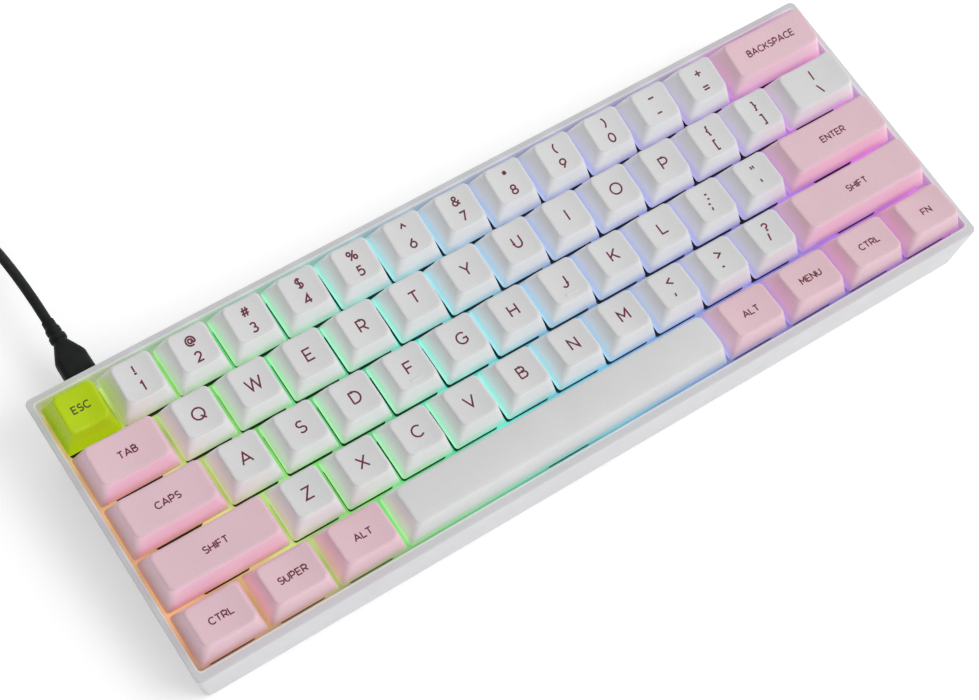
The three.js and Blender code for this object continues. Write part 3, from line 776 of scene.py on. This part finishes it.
# Strokes of each sign, where 1 is the height of a capital letter and y is 0 on the base line.
SIGNS = {
    "A": [[(0, 0), (0.46, 1), (0.92, 0)], [(0.16, 0.31), (0.76, 0.31)]],
    "B": [[(0, 0), (0, 1), (0.38, 1)] + arc(0.38, 0.77, 0.24, 0.23, 90, -90) + [(0, 0.54)],
          [(0, 0.54), (0.42, 0.54)] + arc(0.42, 0.27, 0.27, 0.27, 90, -90) + [(0, 0)]],
    "C": [arc(0.5, 0.5, 0.48, 0.5, 45, 315)],
    "D": [[(0, 0), (0, 1), (0.34, 1)] + arc(0.34, 0.5, 0.46, 0.5, 90, -90) + [(0, 0)]],
    "E": [[(0.66, 1), (0, 1), (0, 0), (0.66, 0)], [(0, 0.51), (0.58, 0.51)]],
    "F": [[(0.64, 1), (0, 1), (0, 0)], [(0, 0.49), (0.56, 0.49)]],
    "G": [arc(0.5, 0.5, 0.48, 0.5, 48, 322) + [(0.88, 0.46), (0.54, 0.46)]],
    "H": [[(0, 0), (0, 1)], [(0.74, 0), (0.74, 1)], [(0, 0.5), (0.74, 0.5)]],
    "I": [[(0, 0), (0, 1)]],
    "J": [[(0.5, 1), (0.5, 0.27)] + arc(0.25, 0.27, 0.25, 0.27, 0, -160)],
    "K": [[(0, 0), (0, 1)], [(0.7, 1), (0, 0.34)], [(0.27, 0.6), (0.74, 0)]],
    "L": [[(0, 1), (0, 0), (0.62, 0)]],
    "M": [[(0, 0), (0, 1), (0.42, 0.36), (0.84, 1), (0.84, 0)]],
    "N": [[(0, 0), (0, 1), (0.74, 0), (0.74, 1)]],
    "O": [arc(0.51, 0.5, 0.51, 0.5)],
    "P": [P_BOWL],
    "Q": [arc(0.51, 0.5, 0.51, 0.5), [(0.6, 0.3), (0.98, -0.07)]],
    "R": [P_BOWL, [(0.36, 0.4), (0.7, 0)]],
    "S": [S_CURVE],
    "T": [[(0, 1), (0.74, 1)], [(0.37, 1), (0.37, 0)]],
    "U": [[(0, 1), (0, 0.37)] + arc(0.36, 0.37, 0.36, 0.37, 180, 360) + [(0.72, 1)]],
    "V": [[(0, 1), (0.43, 0), (0.86, 1)]],
    "W": [[(0, 1), (0.33, 0), (0.66, 1), (0.99, 0), (1.32, 1)]],
    "X": [[(0, 1), (0.78, 0)], [(0.78, 1), (0, 0)]],
    "Y": [[(0, 1), (0.4, 0.45), (0.8, 1)], [(0.4, 0.45), (0.4, 0)]],
    "Z": [[(0.03, 1), (0.7, 1), (0, 0), (0.72, 0)]],
    "0": [arc(0.36, 0.5, 0.36, 0.5)],
    "1": [[(0, 0.84), (0.24, 1), (0.24, 0)]],
    "2": [arc(0.32, 0.7, 0.31, 0.3, 165, -35) + [(0, 0), (0.66, 0)]],
    "3": [arc(0.31, 0.75, 0.27, 0.25, 150, -90), arc(0.31, 0.25, 0.32, 0.26, 90, -150)],
    "4": [[(0.54, 0), (0.54, 1), (0, 0.27), (0.74, 0.27)]],
    "5": [[(0.6, 1), (0.12, 1), (0.08, 0.55)] + arc(0.3, 0.32, 0.34, 0.32, 125, -150)],
    "6": [arc(0.34, 0.32, 0.34, 0.32), [(0.52, 1), (0.04, 0.43)]],
    "7": [[(0, 1), (0.64, 1), (0.2, 0)]],
    "8": [arc(0.33, 0.76, 0.27, 0.24, -90, 270), arc(0.33, 0.26, 0.33, 0.26, 90, 450)],
    "9": [arc(0.34, 0.68, 0.34, 0.32), [(0.16, 0), (0.64, 0.57)]],
    "!": [[(0, 1), (0, 0.3)], *dot(0, 0)],
    "@": [arc(0.5, 0.45, 0.5, 0.5, 0, 300), arc(0.48, 0.45, 0.22, 0.24),
          [(0.7, 0.69), (0.7, 0.37)] + arc(0.85, 0.37, 0.15, 0.14, 180, 360) + [(1, 0.45)]],
    "#": [[(0.2, 0), (0.34, 1)], [(0.54, 0), (0.68, 1)],
          [(0, 0.33), (0.82, 0.33)], [(0.06, 0.67), (0.88, 0.67)]],
    "$": [S_CURVE, [(0.34, 1.14), (0.34, -0.14)]],
    "%": [arc(0.2, 0.77, 0.19, 0.22), arc(0.8, 0.23, 0.19, 0.22), [(0.16, 0), (0.84, 1)]],
    "^": [[(0, 0.55), (0.3, 1), (0.6, 0.55)]],
    "&": [[(0.82, 0), (0.2, 0.68)] + arc(0.38, 0.8, 0.2, 0.2, 215, -40)
          + arc(0.32, 0.26, 0.3, 0.26, 130, 320) + [(0.8, 0.5)]],
    "*": [[(0.25, 0.5), (0.25, 1)], [(0.03, 0.62), (0.47, 0.88)], [(0.03, 0.88), (0.47, 0.62)]],
    "(": PARENTHESIS,
    ")": mirrored(PARENTHESIS, 0.5),
    "_": [[(0, 0.5), (0.7, 0.5)]],
    "-": [[(0, 0.45), (0.6, 0.45)]],
    "+": [[(0, 0.5), (0.76, 0.5)], [(0.38, 0.12), (0.38, 0.88)]],
    "=": [[(0, 0.33), (0.74, 0.33)], [(0, 0.67), (0.74, 0.67)]],
    "{": BRACE,
    "}": mirrored(BRACE, 0.36),
    "[": BRACKET,
    "]": mirrored(BRACKET, 0.3),
    "|": [[(0, 1.1), (0, -0.1)]],
    "\\": [[(0, 1.05), (0.44, -0.05)]],
    "/": [[(0.2, 0.95), (0, 0.05)]],
    ":": [*dot(0, 0.54), *dot(0, -0.06)],
    ";": [*dot(0.06, 0.54), [(0.1, 0.2), (0, -0.2)]],
    '"': [[(0, 1), (0, 0.6)], [(0.3, 1), (0.3, 0.6)]],
    "'": [[(0, 1), (0, 0.6)]],
    "<": ANGLE,
    ">": mirrored(ANGLE, 0.62),
    ",": [[(0.1, 0.2), (0, -0.2)]],
    ".": dot(0, 0),
    "?": [arc(0.3, 0.72, 0.29, 0.28, 165, -55) + [(0.3, 0.4), (0.3, 0.28)], *dot(0.3, 0)],
}
LETTER_HEIGHT = 3.75
PAIR_HEIGHT = 2.9
WORD_HEIGHT = 2.1
WORD_GAP = 0.25
SIGN_STROKE = 0.55
WORD_STROKE = 0.4

# Where the middles of the legends lie, from the key's centre.
LETTER_PLACE = (-0.1, -0.95)
UPPER_PLACE = (0, 1.4)
LOWER_PLACE = (0, -4)
LOW_MARK_PLACE = (-0.9, -2.1)
WORD_PLACE = (0, -0.9)

LEGEND_PROUD = 0.03
LEGEND_SUNK = 0.4


def finer(points, longest=0.7):
    """The same line with points no further apart than that."""
    dense = [points[0]]
    for start, end in zip(points, points[1:]):
        count = max(1, math.ceil((end - start).length / longest))
        dense.extend(start.lerp(end, step / count) for step in range(1, count + 1))
    return dense


def side_steps(points, half_width):
    """For each point of a line, the step to its left edge, mitred at the corners."""
    steps = []
    for index, point in enumerate(points):
        before = (point - points[index - 1]).normalized() if index else None
        after = (points[index + 1] - point).normalized() if index + 1 < len(points) else None
        before = before or after
        after = after or before
        middle = (before + after).normalized()
        stretch = min(2.2, 1 / max(0.1, middle.dot(after)))
        steps.append(Vector((-middle.y, middle.x)) * half_width * stretch)
    return steps


def add_stroke(piece, line, width, top):
    """A closed strip along a line on a keycap, which follows the shape of its top."""
    points = finer([Vector(point) for point in line])
    rings = []
    for point, step in zip(points, side_steps(points, width / 2)):
        left, right = point + step, point - step
        rings.append([
            Vector((*left, top(*left) + LEGEND_PROUD)),
            Vector((*left, top(*left) - LEGEND_SUNK)),
            Vector((*right, top(*right) - LEGEND_SUNK)),
            Vector((*right, top(*right) + LEGEND_PROUD)),
        ])
    piece.chain(rings, LEGEND_SLOT)


def sign_width(sign):
    return max(x for stroke in SIGNS[sign] for x, _ in stroke)


def add_signs(piece, text, height, place, stroke_width, top):
    """A line of signs, centred on a place on the keycap."""
    widths = [sign_width(sign) for sign in text]
    left = -(sum(widths) + WORD_GAP * (len(text) - 1)) / 2
    for sign, width in zip(text, widths):
        for stroke in SIGNS[sign]:
            line = [(place[0] + height * (left + x), place[1] + height * (y - 0.5)) for x, y in stroke]
            add_stroke(piece, line, stroke_width, top)
        left += width + WORD_GAP


def add_legend(piece, text, top):
    if len(text) == 1:
        add_signs(piece, text, LETTER_HEIGHT, LETTER_PLACE, SIGN_STROKE, top)
    elif len(text) == 2 and text != "FN":
        lower_place = LOW_MARK_PLACE if text[1] in ",./;" else LOWER_PLACE
        add_signs(piece, text[0], PAIR_HEIGHT, UPPER_PLACE, SIGN_STROKE, top)
        add_signs(piece, text[1], PAIR_HEIGHT, lower_place, SIGN_STROKE, top)
    elif text:
        add_signs(piece, text, WORD_HEIGHT, WORD_PLACE, WORD_STROKE, top)


# The keycaps ------------------------------------


def cap_top(width, depth, row, crowned):
    """The height of a keycap's top over a place measured from the key's centre."""
    top_width = width - 2 * SIDE_LEAN
    top_depth = depth - BACK_LEANS[row] - FRONT_LEAN
    shift = (FRONT_LEAN - BACK_LEANS[row]) / 2
    back, front = ROW_HEIGHTS[row]

    def height(x, y):
        along = (y - shift) / top_depth + 0.5
        flat = front + (back - front) * along
        if crowned:
            return flat + CROWN_HEIGHT * (1 - (2 * along - 1) ** 2)
        return flat - DISH_DEPTH * max(0, 1 - (2 * x / top_width) ** 2)

    return height


def cap_rings(width, depth, row, top):
    """A hollow keycap: from its ceiling down inside the skirt, up outside and over the top."""
    top_width = width - 2 * SIDE_LEAN
    top_depth = depth - BACK_LEANS[row] - FRONT_LEAN
    shift = (0, (FRONT_LEAN - BACK_LEANS[row]) / 2)
    along_x = max(8, 2 * round(width / 4))

    def ring(wide, deep, radius):
        return outline(wide, deep, radius, 5, along_x, 6)

    top_edge = ring(top_width, top_depth, TOP_CORNER)
    roof = min(top(0, shift[1] - top_depth / 2), top(0, shift[1] + top_depth / 2)) - CAP_ROOF
    rings = [
        lying(ring(top_width - 2 * CAP_WALL, top_depth - 2 * CAP_WALL, 0.8), roof, shift),
        lying(ring(top_width - CAP_WALL, top_depth - CAP_WALL, 1), roof, shift),
        lying(ring(width - 2 * CAP_WALL, depth - 2 * CAP_WALL, 0.6), 0),
        lying(ring(width, depth, SKIRT_CORNER), 0),
        [Vector((p.x, p.y + shift[1], top(p.x, p.y + shift[1]))) for p in top_edge],
    ]
    roundings = [0, 0.6, 0.2, 0.25, EDGE_ROUNDING]
    spine = max(0, (top_width - top_depth) / 2)
    for share in (0.3, 0.5, 0.7, 0.86, 0.96):
        inner = []
        for point in top_edge:
            centre_x = min(spine, max(-spine, point.x))
            x = point.x + (centre_x - point.x) * share
            y = point.y * (1 - share) + shift[1]
            inner.append(Vector((x, y, top(x, y))))
        rings.append(inner)
        roundings.append(0)
    return softened(rings, roundings, 5), roof


def add_stem(piece, roof):
    """The post under the roof and the switch's slider below it."""
    post = [(5.6, roof + 0.4), (5.6, 1.6), (5.2, 1.2)]
    piece.chain([lying(circle(diameter), height) for diameter, height in post], CAP_SLOT)
    body = [(6.4, 5.2, -SLIDER_REACH), (6.4, 5.2, 1.2), (4.1, 4.1, 1.25)]
    rings = [lying(outline(wide, deep, 0.5, 3), height) for wide, deep, height in body]
    piece.chain(softened(rings, [0, 0.4, 0]), SLIDER_SLOT)


def add_homing_bar(piece, top):
    """The small raised bar that a finger finds."""
    rings = []
    for rise, size in ((-0.3, 1), (0.22, 0.9), (0.34, 0.55)):
        bar = outline(4.2 * (0.9 + 0.1 * size), 0.75 * size, 0.37 * size, 4, 4)
        places = [(point.x, point.y + HOMING_BAR_Y) for point in bar]
        rings.append([Vector((x, y, top(x, y) + rise)) for x, y in places])
    piece.chain(rings, CAP_SLOT)


def add_key(name, units, text, left, row):
    plain = name.lstrip("*")
    width = units * KEY_PITCH - CAP_SPACING
    depth = KEY_PITCH - CAP_SPACING
    top = cap_top(width, depth, row, plain == "space")
    piece = Piece(DECK, (left + units * KEY_PITCH / 2, FIELD_BACK - (row + 0.5) * KEY_PITCH, 0))
    rings, roof = cap_rings(width, depth, row, top)
    piece.chain(rings, CAP_SLOT)
    add_stem(piece, roof)
    add_legend(piece, text, top)
    if plain in HOMING_KEYS:
        add_homing_bar(piece, top)
    if plain == "esc":
        cap, legend, slot = LIME_CAP, OLIVE_LEGEND, "lime_keycap"
    elif name.startswith("*"):
        cap, legend, slot = PINK_CAP, MAROON_LEGEND, "pink_keycap"
    else:
        cap, legend, slot = WHITE_CAP, MAROON_LEGEND, "white_keycap"
    single = f"{plain}_key" in frame["nodes"]
    body = plain if single else "number_row"
    node = f"{plain}_key" if single else "number_row_keys"
    piece.build(f"{plain}_keycap", (cap, legend, SLIDER), body, (node,))
    return piece.centre


def add_keys():
    centres = []
    for row, keys in enumerate(KEYS):
        left = -FIELD_WIDTH / 2
        for name, units, text in keys:
            centres.append(add_key(name, units, text, left, row))
            left += units * KEY_PITCH
    return centres


key_centres = add_keys()

# The switches, the plate and the board ----------


def add_housings():
    """All the switch housings: clips under the plate, flange, sloping top and the slider's shaft."""
    housings = Piece(DECK)
    sections = (
        (13.4, 0.8, BOARD_TOP + 0.05), (13.4, 0.8, PLATE_TOP + 0.3), (15.6, 0.8, PLATE_TOP + 0.3),
        (15.6, 0.8, PLATE_TOP + 1.3), (14.4, 1.2, PLATE_TOP + 1.5), (11, 1.4, 0.3),
    )
    rings = [lying(outline(size, size, radius, 3), height) for size, radius, height in sections]
    rings += [lying(outline(7.2, 6, 0.6, 3), height) for height in (0.3, -8.3)]
    shape = softened(rings, [0, 0, 0.2, 0.2, 0.2, 0.3, 0.2, 0], 2)
    for centre in key_centres:
        housings.centre = centre
        housings.chain(shape)
    housings.build("switch_housings", (HOUSING,), "chassis", ("circuit_board",))


def add_board():
    """The circuit board, with the controller and a row of small parts under its middle."""
    bottom = BOARD_TOP - BOARD_THICKNESS
    shift = (0, FIELD_MIDDLE - 0.4)
    shape = outline(FIELD_WIDTH - 3, FIELD_DEPTH - 2.8, 1.5, 4)
    board = Piece(DECK)
    board.chain(softened([lying(shape, bottom, shift), lying(shape, BOARD_TOP, shift)], [0, 0]))
    controller = (7, 7, 0.9, 30, 8)
    small_parts = [(1.6, 0.8, 0.5, 20 + 2.6 * step, 0) for step in range(9)]
    for width, depth, thickness, x, y in [controller] + small_parts:
        part = outline(width, depth, 0.1, 2)
        board.chain([lying(part, height, (x, y)) for height in (bottom + 0.1, bottom - thickness)], 1)
    board.build("board", (BOARD, DARK), "chassis", ("circuit_board",))


def use_on_node(node, material):
    """Gives a carried-over CAD node its own material."""
    piece = frame["nodes"][node]
    piece.data.materials.clear()
    piece.data.materials.append(material)


add_housings()
add_board()
use_on_node("switch_plate", PLATE)
use_on_node("usb_socket", STEEL)

# The case and its feet --------------------------


def wall_ring(rim, height, inset):
    """Where the leaning outer walls come down to a height above the table, or inset from there."""
    ring = []
    for point in rim:
        placed = TABLE.inverted() @ DECK @ point
        drop = placed.z - height
        placed.x *= 1 - (WALL_DRAFT[0] * drop + inset) / (CASE_WIDTH / 2)
        placed.y *= 1 - (WALL_DRAFT[1] * drop + inset) / (CASE_DEPTH / 2)
        placed.z = height
        ring.append(DECK.inverted() @ TABLE @ placed)
    return ring


def add_case():
    """The tray: level underneath, with its rim in the deck's tilt and rounded edges all round."""
    steps = (6, 30, 10)
    edge = 4
    rim = lying(outline(CASE_WIDTH, CASE_DEPTH, CASE_CORNER, *steps), RIM_HEIGHT)
    well = outline(FIELD_WIDTH + 2 * WELL_MARGIN, FIELD_DEPTH + 2 * WELL_MARGIN, 1.2, *steps)
    floor = CASE_BOTTOM + FLOOR_THICKNESS
    rings = [
        wall_ring(rim, CASE_BOTTOM, 1.5),
        wall_ring(rim, CASE_BOTTOM, 0),
        rim,
        lying(well, RIM_HEIGHT, (0, FIELD_MIDDLE)),
        lying(well, WELL_KNEE, (0, FIELD_MIDDLE)),
        wall_ring(rim, floor, WALL_THICKNESS),
        wall_ring(rim, floor, WALL_THICKNESS + 3),
    ]
    chain = softened(rings, [0, 0.8, 0.5, 0.4, 0.8, 0.8, 0], edge)
    # The first ring and the rings of two rounded edges, up to the one that turns over into the well.
    outside = 1 + 2 * (edge + 3)
    case = Piece(DECK)
    case.chain(chain, slots=[0] * outside + [1] * (len(chain) - 1 - outside))
    tray = case.build("case_tray", (CASE, WELL), "chassis", ("case",), 50)
    cut_port(tray)


def cut_port(tray):
    """Cuts the hole for the cable's plug through the back wall."""
    hole = Piece(DECK)
    shape = outline(11.4, 7, 3, 8)
    centre = (PORT_X, PORT_AXIS)
    hole.chain([standing(shape, CASE_DEPTH / 2 + 5, centre), standing(shape, FIELD_BACK - 4, centre)])
    cutter = hole.build("port_cutter", (CASE,), "chassis")
    modifier = tray.modifiers.new("port", "BOOLEAN")
    modifier.object = cutter
    modifier.operation = "DIFFERENCE"
    modifier.solver = "EXACT"
    shown = tray.evaluated_get(bpy.context.evaluated_depsgraph_get())
    cut = bpy.data.meshes.new_from_object(shown)
    tray.modifiers.clear()
    tray.data = cut
    bpy.data.objects.remove(cutter)


def add_posts():
    """The posts that carry the board, with their feet in the case's floor."""
    top = BOARD_TOP - BOARD_THICKNESS - BOARD_GAP
    foot_level = CASE_BOTTOM + FLOOR_THICKNESS / 2
    posts = Piece(DECK)
    for x in (-FIELD_WIDTH * 0.42, 0, FIELD_WIDTH * 0.42):
        for y in (-1.5 * KEY_PITCH, 1.1 * KEY_PITCH):
            head = lying(circle(5.2, 16), top, (x, y))
            foot = [table_level(point, foot_level) for point in head]
            hole = [lying(circle(2.2, 16), top, (x, y)), lying(circle(2, 16), top - 3, (x, y))]
            posts.chain(softened([foot, head] + hole, [0, 0.3, 0.2, 0], 2))
    posts.build("board_posts", (CASE,), "chassis", ("case",))


def table_level(point, height):
    """The deck place straight under a deck place, at a height above the table."""
    placed = DECK @ point
    placed.z = height / 1000
    return DECK.inverted() @ placed


def add_feet():
    for node in ("front_foot", "back_foot"):
        low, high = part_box(node)
        width = (high.x - low.x) * 1000
        depth = (high.y - low.y) * 1000
        place = (0, (high.y + low.y) / 2 * 1000)
        shape = outline(width, depth, depth / 2 - 0.01, 8, 20)
        inner = outline(width - 1.2, depth - 1.2, depth / 2 - 0.61, 8, 20)
        strip = Piece(TABLE)
        rings = [lying(inner, 0.01, place), lying(shape, 0.01, place), lying(shape, 1.49, place)]
        strip.chain(softened(rings, [0, 0.4, 0]))
        strip.build(f"{node}_strip", (FEET,), "chassis", (node,))


add_case()
add_posts()
add_feet()

# The floor and the light ------------------------

FLOOR_REACH = 3
KEY_LIGHT_PLACE = Vector((0.8, -1.15, 1.9))
KEY_LIGHT_SIZE = 1.2
KEY_LIGHT_POWER = 16

# The strength of the light from round about, from straight left to a little right of the middle.
STUDIO_RANGE = {"From Min": -1, "From Max": 0.2, "To Min": 0.16, "To Max": 0.82}


def add_floor():
    mesh = bpy.data.meshes.new("floor")
    corners = [(x * FLOOR_REACH, y * FLOOR_REACH, 0) for x, y in ((-1, -1), (1, -1), (1, 1), (-1, 1))]
    mesh.from_pydata(corners, [], [(0, 1, 2, 3)])
    mesh.materials.append(floor_paper())
    floor = bpy.data.objects.new("floor", mesh)
    bpy.context.scene.collection.objects.link(floor)


def add_key_light():
    data = bpy.data.lights.new("key_light", "AREA")
    data.shape = "SQUARE"
    data.size = KEY_LIGHT_SIZE
    data.energy = KEY_LIGHT_POWER
    light = bpy.data.objects.new("key_light", data)
    bpy.context.scene.collection.objects.link(light)
    light.location = KEY_LIGHT_PLACE
    light.rotation_mode = "QUATERNION"
    light.rotation_quaternion = (-KEY_LIGHT_PLACE).to_track_quat("-Z", "Y")


def add_studio():
    """White light from all round, which grows from the left side to the right."""
    world = bpy.data.worlds.new("studio")
    bpy.context.scene.world = world
    world.use_nodes = True
    tree = world.node_tree
    background = tree.nodes["Background"]
    background.inputs["Color"].default_value = (1, 1, 1, 1)
    direction = tree.nodes.new("ShaderNodeSeparateXYZ")
    tree.links.new(tree.nodes.new("ShaderNodeTexCoord").outputs["Generated"], direction.inputs[0])
    side = tree.nodes.new("ShaderNodeMapRange")
    for name, value in STUDIO_RANGE.items():
        side.inputs[name].default_value = value
    tree.links.new(direction.outputs["X"], side.inputs["Value"])
    tree.links.new(side.outputs["Result"], background.inputs["Strength"])
    bpy.context.scene.view_settings.view_transform = "Standard"


add_floor()
add_key_light()
add_studio()
